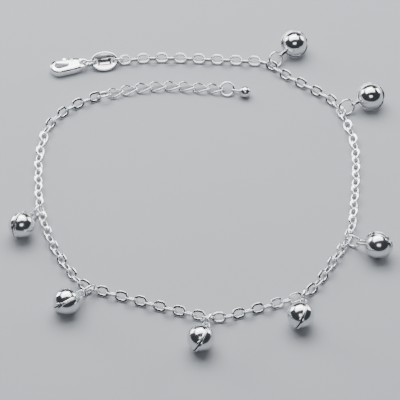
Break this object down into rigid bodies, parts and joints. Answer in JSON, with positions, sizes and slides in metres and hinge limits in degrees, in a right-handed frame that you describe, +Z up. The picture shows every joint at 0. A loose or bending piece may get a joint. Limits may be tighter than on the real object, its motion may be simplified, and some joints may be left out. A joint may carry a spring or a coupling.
{
  "type": "bell anklet",
  "caption": "Open silver anklet of flat oval links with clam-shell jingle bells on jump rings, an oval tag, a lobster clasp and an extender with a ball drop.",
  "frame": {"origin": "the middle of the anklet's footprint, on the surface that it lies on", "axes": "+Z up from the surface, +Y from the front of the loop to the clasp and the extender's free end, +X to the right"},
  "size_m": [0.0802, 0.0876, 0.0061],
  "materials": {
    "silver_chain": "polished silver plate",
    "silver_bells": "mirror silver plate",
    "silver_rings": "polished silver plate",
    "silver_clasp": "polished silver plate",
    "silver_tag": "polished silver plate",
    "pellet": "plain steel"
  },
  "bodies": {
    "anklet": {"chain": "silver_chain", "extender_chain": "silver_chain", "extender_start_ring": "silver_rings", "extender_end_ring": "silver_rings", "ball_drop": "silver_bells", "tag": "silver_tag", "tag_ring": "silver_rings", "clasp_ring": "silver_rings", "clasp_body": "silver_clasp", "clasp_pin": "silver_clasp", "bell_1": "silver_bells", "bell_2": "silver_bells", "bell_3": "silver_bells", "bell_4": "silver_bells", "bell_5": "silver_bells", "bell_6": "silver_bells", "bell_7": "silver_bells", "bell_ring_1": "silver_rings", "bell_ring_2": "silver_rings", "bell_ring_3": "silver_rings", "bell_ring_4": "silver_rings", "bell_ring_5": "silver_rings", "bell_ring_6": "silver_rings", "bell_ring_7": "silver_rings", "bell_pellet_1": "pellet", "bell_pellet_2": "pellet", "bell_pellet_3": "pellet", "bell_pellet_4": "pellet", "bell_pellet_5": "pellet", "bell_pellet_6": "pellet", "bell_pellet_7": "pellet"},
    "lever": {"clasp_lever": "silver_clasp"}
  },
  "joints": [
    {"name": "clasp_lever", "type": "hinge", "parent": "anklet", "child": "lever", "pos_m": [-0.02875, 0.03664, 0.00095], "axis": [0, 0, 1], "range_deg": [0, 22], "stiffness_Nm_per_rad": 0.002, "springref_deg": -8.59}
  ]
}
